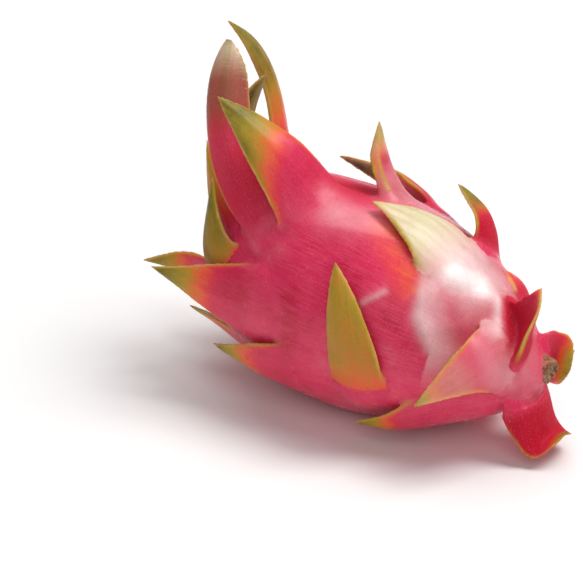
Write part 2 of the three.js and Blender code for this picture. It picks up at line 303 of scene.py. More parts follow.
bractMake = {
    "rootRows": 26,
    "bladeRows": 90,
    "columns": 64,
    "thick": 2,  # thickness at the base is this plus a share of the length
    "thickShare": 0.03,
    "tipThin": 0.75,  # lost by the tip, as this power of the way there
    "tipPower": 1.2,
    "tipRound": 12,
    "thinnest": 1.5,
    "narrowest": 0.001,
    "rootShare": 0.5,  # a root is this share of the blade's length
    "rootLongest": 22,
    "narrowing": 0.45,  # of the root, and its thinning, as far as its end
    "thinning": 0.3,
    "bedded": 0.25,  # how far the base's middle stands out of the skin, in thicknesses
    "sunk": 0.95,  # how much deeper the root's end lies
    "bendMost": 40,  # degrees, of the section at the base
    "bendSoon": 1.6,  # the section reaches its cup at the length over this
    "fillet": 14,  # radius of the skin's sweep up into a blade
    "filletShare": 0.93,  # of the quarter circle that is used
    "filletMost": 0.5,  # share of the blade that it may take
    "liftMost": 1.5,  # radians
    "rippleHigh": 0.6,  # waviness of the margins of a blade as wide as rippleWidth
    "rippleWidth": 30,
    "beats": (1.2, 2.2),  # how many waves a margin may have
    "rippleSoon": 0.3,  # share of the blade after which it is full
    "keelWidth": 0.16,  # share of the half width
    "joinSpan": 9,  # how far the join is smoothed up the blade, and how far tints fade on it
    "tintSpan": 8,
    "apart": 10,  # between the streaks of one blade and the next
}


def foldDistance(along, turn, radius, line):
    # signed distance to a row of places on the unrolled skin, positive on its crownward side: to the
    # nearest point of each stretch, u - v (u.v / v.v), and of those the smallest
    nearest = np.full(np.broadcast(along, turn, radius).shape, np.inf)
    for (fromAlong, fromTurn), (toAlong, toTurn) in zip(line, line[1:]):
        ahead, aside = along - fromAlong, np.radians((turn - fromTurn + 180) % 360 - 180) * radius
        reach, swing = toAlong - fromAlong, np.radians(toTurn - fromTurn) * radius
        share = np.clip((ahead * reach + aside * swing) / (reach**2 + swing**2), 0, 1)
        offAlong, offRound = ahead - share * reach, aside - share * swing
        gap = np.hypot(offAlong, offRound) * np.where(offAlong < 0, -1, 1)
        nearest = np.where(np.abs(gap) < np.abs(nearest), gap, nearest)
    return nearest


def foldTints(along, turn, radius):
    # height that the creases give to places on the skin, and their painted light: whiteness as painted
    # highlight, crimson as painted shade and ripeness as a painted glow.  The height falls off as
    # exp(-d) and the rest as exp(-d^2), where d is the distance in spreads
    height, paleAndHighlight, deep, ripe = np.zeros((4, *np.broadcast(along, turn, radius).shape))
    for settings in folds.values():
        fold = {**usualFold, **settings}
        gap = foldDistance(along, turn, radius, fold["line"])
        share = np.abs(gap) / np.where(gap < 0, *fold["spread"])
        height = height + fold["height"] * np.exp(-share)
        fade = np.exp(-(share**2))
        paleAndHighlight = np.maximum(paleAndHighlight, fold["paleAndHighlight"] * fade)
        deep = np.maximum(deep, fold["deep"] * fade)
        ripe = np.maximum(ripe, fold["ripe"] * fade)
    return height, paleAndHighlight, deep, ripe


def ringsOf(centre, side, face, halfWidth, thickness, bend, extra, wave, keel, keelAt):
    # a rounded lens section bent round an arc: across it by cos, through it by sin^0.75; its outer
    # half is raised by (1 - |across|^3) of extra, its middle by a bell of keel, its margins by wave
    angle = np.linspace(0, 2 * np.pi, bractMake["columns"], endpoint=False)
    across, through = np.cos(angle), np.sin(angle)
    arc = (halfWidth / bend)[:, None]
    out = 0.5 * thickness[:, None] * np.sign(through) * np.abs(through) ** 0.75
    out = out + extra[:, None] * (through > 0) * (1 - np.abs(across) ** 3)
    ridge = keel[:, None] * np.exp(-(((across - keelAt) / bractMake["keelWidth"]) ** 2))
    lateral = (arc + out) * np.sin(bend[:, None] * across)
    depth = (arc + out) * np.cos(bend[:, None] * across) - arc + ridge
    margin = np.abs(across) ** 3 * np.where(across > 0, wave[0][:, None], wave[1][:, None])
    depth = depth + margin
    points = centre[:, None] + lateral[..., None] * side[:, None] + depth[..., None] * face[:, None]
    return points, across, through


def makeBract(settings):
    # a root that runs on the skin and sinks into it by the square of its share, then a blade along
    # the cubic (1-t)^3 first + 3t(1-t)^2 second + 3t^2(1-t) third + t^3 end
    make = {**bractMake, **usual, **settings}
    at, turn = make["base"]
    lean, lift = np.radians(make["lean"]), np.radians(make["lift"])
    start, crownward, straightOut, sideways = skinAt(at, turn)
    end = place(*make["tip"])
    length = np.linalg.norm(end - start)
    halfBase = 0.5 * make["width"]
    thick = make["thick"] + make["thickShare"] * length
    rootLength = make["root"] or min(make["rootShare"] * length, make["rootLongest"])
    baseBend = min(halfBase / bodyRadius(at), np.radians(make["bendMost"]))
    fillet = make["fillet"]
    sweep = fillet * np.tan(min(lift, make["liftMost"]) / 2)
    sweep = min(sweep, make["filletMost"] * length)

    def filletAt(distance):
        # gap between a corner's arm and the arc of the fillet, at a distance from the corner
        left = np.clip(sweep - distance, 0, make["filletShare"] * fillet)
        return fillet - np.sqrt(fillet**2 - left**2)

    back = 1 - np.arange(make["rootRows"]) / make["rootRows"]
    run = rootLength * back
    along = at - run * np.cos(lean) / np.hypot(1, bodySlope(at))
    along = np.clip(along, body["endGap"], body["length"] - body["endGap"])
    swing = np.degrees(run * np.sin(lean) / np.maximum(bodyRadius(along), body["thinGirth"]))
    below, belowCrown, belowOut, belowSide = skinAt(along, turn - swing)
    sink = thick * (make["bedded"] - make["sunk"] * back**2)
    rootHalf = halfBase * (1 - make["narrowing"] * back**2)
    still = np.zeros_like(back)
    rootRings, across, through = ringsOf(
        below + sink[:, None] * belowOut,
        np.cos(lean) * belowSide - np.sin(lean) * belowCrown,
        belowOut,
        rootHalf,
        thick * (1 - make["thinning"] * back),
        np.full_like(back, baseBend),
        filletAt(run) * (1 - back) ** 0.5,
        (still, still),
        make["keel"] * (1 - back),
        make["keelAt"],
    )

    heading = np.cos(lean) * crownward + np.sin(lean) * sideways
    baseSide = np.cos(lean) * sideways - np.sin(lean) * crownward
    first = start + make["bedded"] * thick * straightOut
    second = first + make["reach"] * length * (np.cos(lift) * heading + np.sin(lift) * straightOut)
    third = end - make["settle"] * length * unit(end - second)
    x = np.linspace(0, 1, make["bladeRows"])
    t = x[:, None]
    spine = (1 - t) ** 3 * first + 3 * t * (1 - t) ** 2 * second
    spine = spine + 3 * t**2 * (1 - t) * third + t**3 * end
    ahead = (1 - t) ** 2 * (second - first) + 2 * t * (1 - t) * (third - second) + t**2 * (end - third)
    ahead = unit(ahead)
    side = unit(baseSide - (ahead @ baseSide)[:, None] * ahead)
    face = np.cross(ahead, side)
    halfWidth = halfBase * mix((1 - x) ** 3, 1 - x ** make["blunt"], make["full"])
    thickness = thick * (1 - make["tipThin"] * x ** make["tipPower"])
    thickness = np.maximum(thickness, make["thinnest"])
    thickness = thickness * np.sqrt(1 - x ** make["tipRound"])
    bend = mix(baseBend, np.radians(make["cup"]), ease(x * make["bendSoon"]))
    phase = chance.uniform(0, 2 * np.pi, 4)
    beat = chance.uniform(*make["beats"], 2)
    size = make["rippleHigh"] * make["ripple"] * make["width"] / make["rippleWidth"]
    size = size * ease(x / make["rippleSoon"]) * (1 - x) ** 0.5
    wave = [size * np.sin(2 * np.pi * beat[k] * x + phase[k]) for k in (0, 1)]
    bladeRings, across, through = ringsOf(
        spine,
        side,
        face,
        np.maximum(halfWidth, make["narrowest"]),
        thickness,
        bend,
        filletAt(x * length),
        wave,
        make["keel"] * (1 - x) ** 0.5,
        make["keelAt"],
    )

    rings = np.concatenate([rootRings, bladeRings])
    half = np.concatenate([rootHalf, halfWidth])[:, None]
    distance = np.concatenate([-run, x * length])[:, None] + 0 * across
    grown = np.concatenate([-run / length, x])[:, None]  # share of the blade, below 0 on the root
    across = np.broadcast_to(across, rings.shape[:2])
    inner = np.broadcast_to(through < 0, across.shape)
    ownPattern = make["apart"] * phase[3] + 0 * across
    grain = np.stack([distance, half * across, ownPattern, 0 * across], -1)
    joining = np.concatenate([1 + 0 * run, 1 - ease(x * length / make["joinSpan"])])
    joining = joining[:, None] + 0 * across
    looks = looksOf(make, grown, across, inner, half)
    # the painted light of the creases (highlight, shade and glow) runs on over the root and fades
    # along the first of the blade
    spots = np.concatenate([along, np.full(len(x), at)])[:, None]
    girth = np.maximum(bodyRadius(spots), body["thinGirth"])
    turns = np.concatenate([turn - swing, np.full(len(x), turn)])[:, None]
    turns = turns + np.degrees(half * across * np.cos(lean) / girth)
    _, white, crimson, ripened = foldTints(spots - half * across * np.sin(lean), turns, girth)
    fading = (1 - ease(distance / make["tintSpan"])) * ~inner
    for name, tint in (("ripe", ripened), ("deep", crimson), ("paleAndHighlight", white)):
        looks[name] = np.maximum(looks[name], tint * fading)
    looks = fieldsOf(looks, across.shape)
    return capped({"points": rings, **looks, "grain": grain, "joining": joining})


# Where along a blade each look comes and goes, in shares of the blade: from, and over how much.
lookMake = {
    "rim": (0, 0.25),
    "rimCore": 0.4,  # share of the margin's width that is fully tan
    "glow": (0, 0.4),
    "glowRipe": 0.45,  # how ripe the blade is beside its margin
    "glowWidth": 4,  # and over how many widths of the margin
    "lineWidth": 0.12,  # of the tan midrib, in half widths
    "innerPale": 0.5,  # how much less creamy the inner side is
    "paleEnd": 0.35,
    "paleAndHighlight": (0.05, 0.5),
    "paleAndHighlightEdge": 0.6,  # how much less white the edges are
    "deep": (0, 0.8),
    "tone": (-0.1, 0.2),
    "toneEnd": 0.6,
    "dry": (0.94, 0.06),
    "dryMost": 0.8,
    "brown": (0.42, 0.25),
    "wrinkle": (0.55, 0.3),
}


def comes(grown, look):
    # smooth step that starts at the first share of the blade and takes the second
    start, span = lookMake[look]
    return ease((grown - start) / span)


def looksOf(make, grown, across, inner, half):
    # each look is its amount times smooth steps along the blade, and across it for the margin, which
    # is a line of rimWidth measured in from the edge
    edge = np.abs(across)
    blade = grown > 0
    ripened = grown + (make["slant"] * across + make["edging"] * across**4) * (1 - grown)
    ripe = make["ripe"] * ease((ripened - make["start"]) / (make["end"] - make["start"])) * blade
    inwards = half * (1 - edge) / make["rimWidth"]
    bare = np.where(across < 0, 1 - make["bare"], 1)
    glow = make["rim"] * comes(grown, "glow") * (1 - ease(inwards / lookMake["glowWidth"])) * bare
    ripe = np.maximum(ripe, lookMake["glowRipe"] * glow)
    rim = make["rim"] * comes(grown, "rim") * (1 - ease(inwards - lookMake["rimCore"])) * bare
    line = np.exp(-(((across - make["keelAt"]) / lookMake["lineWidth"]) ** 2)) * blade * ~inner
    rim = np.maximum(rim, make["lined"] * line)
    pale = make["pale"] * ease((grown - make["paleFrom"]) / make["paleSpan"])
    pale = pale * (1 - ease((grown - make["paleTo"]) / lookMake["paleEnd"]))
    pale = pale * (1 - lookMake["innerPale"] * inner)
    # the root whitened by a pale bloom with a painted highlight, less at the edges, none on the inner
    # side
    paleAndHighlight = make["paleAndHighlight"] * (1 - comes(grown, "paleAndHighlight")) * (1 - lookMake["paleAndHighlightEdge"] * edge**2)
    paleAndHighlight = paleAndHighlight * ~inner
    # the crimson of the inner side and of the tone: partly the blade's own colour, partly painted
    # shade
    deep = make["deep"] * (1 - comes(grown, "deep")) * inner * blade
    toneLeft = 1 - ease((grown - make["toneTo"]) / lookMake["toneEnd"] + 1)
    deep = np.maximum(deep, make["tone"] * comes(grown, "tone") * toneLeft)
    dry = lookMake["dryMost"] * comes(grown, "dry")
    brown = make["brown"] * comes(grown, "brown")
    wrinkle = make["wrinkle"] * comes(grown, "wrinkle")
    return dict(
        ripe=ripe, pale=pale, deep=deep, dry=dry, paleAndHighlight=paleAndHighlight, rim=rim, wrinkle=wrinkle, brown=brown,
    )


def capped(shell):
    # closes a row of rings at both ends by a pole in the middle of the first and last ring
    closed = {key: np.concatenate([field[:1], field, field[-1:]]) for key, field in shell.items()}
    closed["points"][0] = shell["points"][0].mean(0)
    closed["points"][-1] = shell["points"][-1].mean(0)
    return closed


# What a bract does to the flesh along its root: it begins at the first distance before the root's
# end, or before the base for axilAlong, and is full after the second; from the third past the base
# on it goes, and is gone after the fourth.  Across the root it is measured in half widths.
aroundBract = {
    "root": 20,
    "joinAlong": (8, 10, 4, 8),
    "joinAcross": (0.9, 0.5),  # full up to the first, and gone after the second more
    "padAlong": (16, 18, -2, 10),
    "paleAndHighlightAlong": (12, 18, 0, 6),
    "paleAndHighlightAcross": 0.9,
    "axilAlong": (3, 4, 2, 9),
    "axilAcross": (0.8, 0.4),
}


def band(run, rootEnd, name):
    # a smooth step up where it begins, times one less the smooth step where it goes
    before, rise, after, fall = aroundBract[name]
    return ease((run - rootEnd + before) / rise) * (1 - ease((run - after) / fall))


def fadeAcross(off, name):
    # one less the smooth step across the root
    full, fall = aroundBract[name]
    return 1 - ease((off - full) / fall)


def makeBody():
    # the surface of revolution with soft lumps and a swelling under each bract
    share = (1 - np.cos(np.linspace(0, np.pi, body["rows"]))) / 2
    along = (body["length"] * share)[:, None]
    turn = np.linspace(0, 360, body["columns"], endpoint=False)[None]
    radius = bodyRadius(along)
    around = np.radians(turn)
    waves = [part * np.sin(n * around + along / step + phase) for n, step, phase, part in lumpWaves]
    height = body["lumps"] * sum(waves) * np.minimum(radius / body["calmRadius"], 1)
    joining, pads, paleAndHighlight, deep = np.zeros((4, body["rows"], body["columns"]))
    for settings in bracts.values():
        make = {**usual, **settings}
        at, aim = make["base"]
        lean = np.radians(make["lean"])
        ahead = (along - at) * np.hypot(1, bodySlope(at))
        sideways = np.radians((turn - aim + 180) % 360 - 180) * radius
        run = ahead * np.cos(lean) + sideways * np.sin(lean)
        off = np.abs(sideways * np.cos(lean) - ahead * np.sin(lean)) / (0.5 * make["width"])
        rootEnd = -(make["root"] or aroundBract["root"])
        near = band(run, rootEnd, "joinAlong") * fadeAcross(off, "joinAcross")
        joining = np.maximum(joining, near)
        pads = np.hypot(pads, band(run, rootEnd, "padAlong") * np.exp(-(off**2)))
        # the flesh under a whitened root is whitened too: pale bloom with a painted highlight
        whiteAcross = np.exp(-((off / aroundBract["paleAndHighlightAcross"]) ** 2))
        paleAndHighlight = np.maximum(paleAndHighlight, make["paleAndHighlight"] * band(run, rootEnd, "paleAndHighlightAlong") * whiteAcross)
        # crimson where a blade leaves the flesh: partly its own deeper red, partly painted shade
        axil = band(run, 0, "axilAlong") * fadeAcross(off, "axilAcross")
        deep = np.maximum(deep, body["axil"] * axil)
    height = height + body["padHeight"] * pads
    # the creases raise the flesh and lay on it their painted highlight, shade and glow
    raised, white, crimson, ripe = foldTints(along, turn, radius)
    height = height + raised
    paleAndHighlight = np.maximum(paleAndHighlight, white)
    deep = np.maximum(deep, crimson)
    points = place(along, turn, radius + height * np.minimum(radius / body["closeRadius"], 1))
    dryMost, dryLeast = body["dryRadius"]
    dried = 1 - ease((radius - dryMost) / (dryLeast - dryMost))
    dry = np.where(along < body["dryFrom"], 0, dried)
    looks = fieldsOf(dict(ripe=ripe, deep=deep, dry=dry, paleAndHighlight=paleAndHighlight), joining.shape)
    zero = np.zeros_like(joining)
    roller = body["grainRadius"]
    grain = [along + zero, roller * np.cos(around) + zero, roller * np.sin(around) + zero, zero]
    shell = {"points": points, **looks, "grain": np.stack(grain, -1), "joining": joining}
    # the other way round, so that the faces look outwards
    return {key: field[:, ::-1] for key, field in shell.items()}


# The dried stub of the stem, off the axis at a turn, and the dried ring of the flower.  Each stands
# proud of its end of the fruit, has a foot buried in it, and is dished on top.
scars = {
    "stem": dict(
        end=0, way=-1, turn=-60, offset=6, radius=4.8, proud=1, buried=9, dish=1.8, columns=90,
    ),
    "crown": dict(
        end=body["length"], way=1, turn=0, offset=0, radius=6.5, proud=2.2, buried=8, dish=3.5,
        columns=120,
    ),
}
scarMake = {
    "rows": 60,
    "side": 0.45,  # share of the rows that runs up the side, the rest is the top
    "foot": 0.08,  # share that closes the foot
    "ragged": [(3, 1, 0.5), (7, 0, 0.35), (13, 2, 0.25)],  # waves round it: how many, phase, share
    "raggedWide": 0.07,
    "raggedHigh": 0.5,
    "dishSoon": 1.3,
    "rays": (9, 6, 1.4),  # of the top: how many, how far they twist, height
    "joining": 0.15,
    "grain": (5, 3),
}


def makeScar(make):
    # a short stub along the axis with a ragged rim, by sines of the angle, and a dished top
    t = np.linspace(0, 1, scarMake["rows"])[:, None]
    angle = np.linspace(0, 2 * np.pi, make["columns"], endpoint=False)[None]
    edge = scarMake["side"]
    side = ease(t / edge)
    top = np.clip((t - edge) / (1 - edge), 0, 1)
    ragged = sum(share * np.sin(n * angle + phase) for n, phase, share in scarMake["ragged"])
    grow = np.where(t < edge, np.minimum(t / scarMake["foot"], 1), 1 - top)
    radius = make["radius"] * (1 + scarMake["raggedWide"] * ragged) * grow
    rise = -make["buried"] + (make["buried"] + make["proud"]) * side
    rise = rise + scarMake["raggedHigh"] * ragged * side * (1 - top)
    rise = rise - make["dish"] * np.sin(np.pi * np.minimum(top * scarMake["dishSoon"], 1) / 2)
    rays, twist, height = scarMake["rays"]
    rise = rise + height * np.sin(rays * angle + twist * top) * top * (1 - top)
    shift = make["offset"] * outward(make["turn"])
    points = place(make["end"] + make["way"] * rise, np.degrees(angle), radius) + shift
    one = np.ones(points.shape[:2])
    looks = fieldsOf(dict(dry=1, wrinkle=1), one.shape)
    acrossGrain, ownGrain = scarMake["grain"]
    grain = np.stack([radius * one, acrossGrain * angle * one, ownGrain * one, 0 * one], -1)
    shell = {"points": points, **looks, "grain": grain, "joining": scarMake["joining"] * one}
    # round the way that makes the faces look outwards at this end
    return {key: field[:, :: -make["way"]] for key, field in shell.items()}


skinMake = {
    "voxel": 0.62,
    "smoothing": 3,  # rounds over the whole skin, and how far each goes
    "smoothShare": 0.5,
    "joinSmoothing": 26,  # and where blades join the flesh
    "joinShare": 0.6,
    "triangles": 188000,
    "merge": 0.02,  # points nearer than this are one
}


def stood(name, data):
    # an object of the scene that has this data
    thing = bpy.data.objects.new(name, data)
    bpy.context.scene.collection.objects.link(thing)
    return thing


def meshOf(name, shells):
    # rows x columns of each shell, wrapped round its columns, as quads of one mesh
    quads, count = [], 0
    for shell in shells:
        rows, columns = shell["points"].shape[:2]
        index = np.arange(rows * columns).reshape(rows, columns) + count
        beside = np.roll(index, -1, 1)
        quads.append(np.stack([index[:-1], beside[:-1], beside[1:], index[1:]], -1).reshape(-1, 4))
        count += rows * columns
    quads = np.concatenate(quads)
    points = np.concatenate([shell["points"].reshape(-1, 3) for shell in shells])
    mesh = bpy.data.meshes.new(name)
    mesh.vertices.add(len(points))
    mesh.vertices.foreach_set("co", (points * toMetres).ravel())
    mesh.loops.add(quads.size)
    mesh.loops.foreach_set("vertex_index", quads.ravel())
    mesh.polygons.add(len(quads))
    mesh.polygons.foreach_set("loop_start", np.arange(0, quads.size, 4))
    mesh.update(calc_edges=True)
    for label in fields:
        values = np.concatenate([shell[label].reshape(shell["joining"].size, -1) for shell in shells])
        values = np.broadcast_to(values, (count, 4))
        layer = mesh.attributes.new(label, "FLOAT_COLOR", "POINT")
        layer.data.foreach_set("color", values.ravel())
    return stood(name, mesh)


def applyModifier(thing):
    # the mesh as its modifier makes it takes the place of the mesh
    graph = bpy.context.evaluated_depsgraph_get()
    mesh = bpy.data.meshes.new_from_object(thing.evaluated_get(graph))
    mesh.name = thing.name
    thing.data = mesh
    thing.modifiers.clear()


def relax(points, edges, weight, rounds):
    # moves each point towards the mean of its neighbours, by its weight, so many times
    a, b = edges.T
    total = len(points)
    neighbours = np.bincount(edges.ravel(), minlength=total)[:, None]

    def sumOf(values):
        return np.bincount(a, values[b], total) + np.bincount(b, values[a], total)

    for _ in range(rounds):
        mean = np.stack([sumOf(points[:, k]) for k in range(3)], 1) / neighbours
        points = points + weight[:, None] * (mean - points)
    return points


def mendSkin(mesh):
    # merges points that fell together and drops the faces without area between them
    shape = bmesh.new()
    shape.from_mesh(mesh)
    near = skinMake["merge"] * toMetres
    bmesh.ops.remove_doubles(shape, verts=shape.verts, dist=near)
    bmesh.ops.dissolve_degenerate(shape, edges=shape.edges, dist=near)
    shape.to_mesh(mesh)
    shape.free()


def oneSkin(thing):
    # the skin round all the overlapping parts, as the surface of a solid made of small cubes
    remesh = thing.modifiers.new("oneSkin", "REMESH")
    remesh.mode = "VOXEL"
    remesh.voxel_size = skinMake["voxel"] * toMetres
    applyModifier(thing)


def carryMarks(source, thing):
    # each point takes its fields from the nearest place of the parts
    carry = thing.modifiers.new("carry", "DATA_TRANSFER")
    carry.object = source
    carry.use_vert_data = True
    carry.data_types_verts = {"COLOR_VERTEX"}
    carry.layers_vcol_vert_select_src = "ALL"
    carry.layers_vcol_vert_select_dst = "NAME"
    carry.vert_mapping = "POLYINTERP_NEAREST"
    for label in fields:
        if label not in thing.data.attributes:
            thing.data.attributes.new(label, "FLOAT_COLOR", "POINT")
    applyModifier(thing)


def readField(collection, field, width, kind=float):
    # one row of numbers for each element of a mesh
    values = np.empty(len(collection) * width, kind)
    collection.foreach_get(field, values)
    return values.reshape(-1, width)


def smoothJoins(mesh):
    # a little relaxing everywhere and much more where blades join the flesh, and nothing below 0
    points = readField(mesh.vertices, "co", 3)
    edges = readField(mesh.edges, "vertices", 2, np.int32)
    joining = readField(mesh.attributes["joining"].data, "color", 4)[:, 0]
    even = np.full(len(points), skinMake["smoothShare"])
    points = relax(points, edges, even, skinMake["smoothing"])
    weight = skinMake["joinShare"] * np.clip(joining, 0, 1)
    points = relax(points, edges, weight, skinMake["joinSmoothing"])
    points[:, 2] = np.maximum(points[:, 2], 0)
    mesh.vertices.foreach_set("co", points.ravel())
    mesh.attributes.remove(mesh.attributes["joining"])
    mesh.update()


def thinOut(thing):
    # fewer faces where the skin is nearly flat
    fewer = thing.modifiers.new("fewer", "DECIMATE")
    fewer.ratio = min(1, skinMake["triangles"] / (2 * len(thing.data.polygons)))
    applyModifier(thing)


shells = [makeBody()] + [makeBract(settings) for settings in bracts.values()]
shells += [makeScar(make) for make in scars.values()]
grownParts = meshOf("grownParts", shells)
report("parts grown")

fruit = stood("dragonFruit", grownParts.data.copy())
oneSkin(fruit)
report(f"one skin, {len(fruit.data.vertices)} points")
carryMarks(grownParts, fruit)
bpy.data.objects.remove(grownParts)
report("marks carried over")
smoothJoins(fruit.data)
report("joins smoothed")
thinOut(fruit)
mendSkin(fruit.data)
fruit.data.shade_smooth()
report(f"thinned to {len(fruit.data.polygons)} faces")


# Colour of a bract as it ripens back: magenta, coral, orange, ochre, olive, dark olive, brown.
ripening = [
    (0.0, (0.74, 0.028, 0.10)),
    (0.18, (0.84, 0.055, 0.075)),
    (0.34, (0.90, 0.14, 0.045)),
    (0.48, (0.72, 0.20, 0.022)),
    (0.62, (0.52, 0.28, 0.018)),
    (0.76, (0.36, 0.27, 0.012)),
    (0.92, (0.19, 0.155, 0.010)),
    (1.0, (0.07, 0.045, 0.012)),
]
finish = {
    "pink": (0.74, 0.024, 0.10),
    "palePink": (0.86, 0.14, 0.21),
    "deepPink": (0.58, 0.005, 0.045),
    "cream": (0.86, 0.80, 0.56),
    "creamGreen": (0.66, 0.68, 0.34),
    "brown": (0.31, 0.10, 0.055),
    # near white: a pale bloom, and the painted highlight on roots and ridges
    "paleAndHighlight": (0.98, 0.88, 0.86),
    # crimson of inner sides, tones and axils, partly own colour and partly painted shade; in creases
    # painted shade
    "crimson": (0.53, 0.002, 0.024),
    "tan": (0.74, 0.42, 0.13),
    "oliveRim": (0.52, 0.37, 0.03),
    "paleSpot": (0.93, 0.45, 0.52),
    "pore": (0.42, 0.008, 0.04),
    "bark": (0.08, 0.022, 0.010),
    "fibre": (0.46, 0.25, 0.12),
    "ripeOver": 0.2,  # the ripeness at which the ripening colours have taken over
    "smooth": 0.16,
    "rough": 0.28,
    "roughOver": (0.3, 0.7),  # of the mottle
    "matteOver": (0.2, 0.8),  # of the ripeness
    "matte": 0.22,  # how much rougher a ripened tip is
    "innerMatte": 0.65,  # and the crimson inner side of a blade
    "dryMatte": 0.4,  # and the dried scars
}
gloss = {
    "Specular IOR Level": 0.28,
    "Coat Weight": 0.04,
    "Coat Roughness": 0.2,
    "Subsurface Weight": 0.10,  # share of light that goes into the flesh and out again
    "Subsurface Radius": (0.004, 0.0012, 0.0012),  # how deep, for red, green and blue
    "Subsurface Scale": 1,
}
# Each cover of colour: the pattern that it follows, and how much of it shows, from the third number
# to the fourth, as the pattern goes from the first to the second.
covers = {
    "palePatch": ("patches", 0.5, 0.75, 0, 0.45),
    "deepPatch": ("patches", 0.5, 0.3, 0, 1),
    "paleFibre": ("fibres", 0.35, 0.75, 0, 0.35),
    "paleAndHighlight": ("patches", 0.3, 0.6, 0.7, 1),
    "brown": ("streaks", 0.3, 0.7, 0.75, 1),
    "creamStreak": ("streaks", 0.35, 0.7, 0, 1),
    "pale": ("patches", 0.3, 0.6, 0.8, 1),
    "oliveRim": ("mottle", 0.4, 0.6, 0, 1),
    "rim": ("mottle", 0.25, 0.55, 0.45, 1),
    "paleSpot": ("speckle", 0.56, 0.74, 0, 0.12),
    "pore": ("speckle", 0.44, 0.28, 0, 0.18),
    "fibre": ("bark", 0.35, 0.65, 0, 1),
    "dry": ("mottle", 0.2, 0.6, 0.7, 1),
}
# How far patterns swing the patches and the ripeness, and the ripeness over which that sets in.
swing = {"patches": 0.5, "mottle": 0.34, "streaks": 0.36, "over": 0.25}
relief = {
    "fibres": 0.45,
    "speckle": 0.25,
    "mottle": 0.9,
    "wrinkles": 1.6,  # only where the looks ask for them
    "bark": 2.5,  # only where it is dry
    "strength": 0.35,
    "height": 0.0006,
}
# Patterns over the place on the fruit in metres: how fine, how many layers, how rough.
placePatterns = {
    "blotches": (26, 3, 0.55),
    "mottle": (130, 4, 0.6),
    "speckle": (1500, 2, 0.6),
    "bark": (700, 5, 0.7),
}
# Patterns over millimetres along and across the growth: how fine each way, layers, how rough.
growthPatterns = {
    "streaks": ((0.045, 0.55, 0.55), 4, 0.55),
    "fibres": ((0.10, 2.2, 2.2), 3, 0.65),
    "wrinkles": ((0.9, 0.12, 0.12), 3, 0.55),
}


class Nodes:
    # short ways of adding the nodes of one material
    def __init__(self, material):
        material.use_nodes = True
        self.tree = material.node_tree
        self.tree.nodes.clear()

    def add(self, kind, **settings):
        # a node with its settings
        node = self.tree.nodes.new(kind)
        for key, value in settings.items():
            setattr(node, key, value)
        return node

    def link(self, source, target):
        self.tree.links.new(source, target)

    def put(self, socket, value):
        # a link from another node's output, or else a plain value
        if hasattr(value, "is_output"):
            self.link(value, socket)
        else:
            socket.default_value = value

    def shader(self, settings):
        # the sockets of the material's one shader, with these settings
        shader = self.add("ShaderNodeBsdfPrincipled")
        for socket, value in settings.items():
            shader.inputs[socket].default_value = value
        self.link(shader.outputs[0], self.add("ShaderNodeOutputMaterial").inputs[0])
        return shader.inputs

    def maths(self, operation, a, b, clamp=False):
        # a and b put together by the operation, and kept from 0 to 1 by clamp
        node = self.add("ShaderNodeMath", operation=operation, use_clamp=clamp)
        for socket, value in zip(node.inputs, (a, b)):
            self.put(socket, value)
        return node.outputs[0]

    def plus(self, a, b, clamp=False):
        return self.maths("ADD", a, b, clamp)

    def times(self, a, b):
        return self.maths("MULTIPLY", a, b)

    def blend(self, share, a, b):
        # colour a at a share of 0, b at 1
        node = self.add("ShaderNodeMix", data_type="RGBA")
        self.put(node.inputs[0], share)
        for socket, value in ((node.inputs[6], a), (node.inputs[7], b)):
            self.put(socket, (*value, 1) if isinstance(value, tuple) else value)
        return node.outputs[2]

    def span(self, value, low, high, toLow=0, toHigh=1):
        # smooth step between low and high, going from toLow to toHigh
        node = self.add("ShaderNodeMapRange", interpolation_type="SMOOTHSTEP")
        for socket, given in zip(node.inputs, (value, low, high, toLow, toHigh)):
            self.put(socket, given)
        return node.outputs[0]

    def channels(self, colour):
        # its red, green and blue
        node = self.add("ShaderNodeSeparateColor")
        self.link(colour, node.inputs[0])
        return node.outputs

    def stretched(self, vector, scale):
        # the vector times the scale, each way by its own
        node = self.add("ShaderNodeMapping")
        node.inputs["Scale"].default_value = scale
        self.link(vector, node.inputs["Vector"])
        return node.outputs[0]

    def noise(self, vector, scale, detail, rough):
        # a pattern from 0 to 1
        node = self.add("ShaderNodeTexNoise")
        self.link(vector, node.inputs["Vector"])
        node.inputs["Scale"].default_value = scale
        node.inputs["Detail"].default_value = detail
        node.inputs["Roughness"].default_value = rough
        return node.outputs["Fac"]


def centred(n, noise, height):
    # a pattern from 0 to 1 as a swing about nothing, (noise - 0.5) * height
    return n.times(n.plus(noise, -0.5), height)


def rampOf(n, ripe):
    # the ripening colours as a ramp over ripe, which begins with stops at 0 and 1
    ramp = n.add("ShaderNodeValToRGB")
    colours = ramp.color_ramp.elements
    for spot, _ in ripening[1:-1]:
        colours.new(spot)
    for stop, (_, colour) in zip(colours, ripening):
        stop.color = (*colour, 1)
    n.link(ripe, ramp.inputs[0])
    return ramp.outputs[0]


def patternsOf(n):
    # noises over the place on the fruit, and noises drawn out along the growth
    where = n.add("ShaderNodeTexCoord").outputs["Object"]
    growth = n.add("ShaderNodeAttribute", attribute_name="grain").outputs["Vector"]
    noise = {name: n.noise(where, *given) for name, given in placePatterns.items()}
    for name, (scale, *given) in growthPatterns.items():
        noise[name] = n.noise(n.stretched(growth, scale), 1, *given)
    patches = centred(n, noise["mottle"], swing["patches"])
    return {**noise, "patches": n.plus(noise["blotches"], patches)}


def looksCarried(n):
    # the looks of each field, three in its colour and the fourth in its alpha
    looks = {}
    for label, names in looksIn.items():
        carried = n.add("ShaderNodeAttribute", attribute_name=label).outputs
        looks.update(zip(names, [*n.channels(carried["Color"]), carried["Alpha"]]))
    return looks


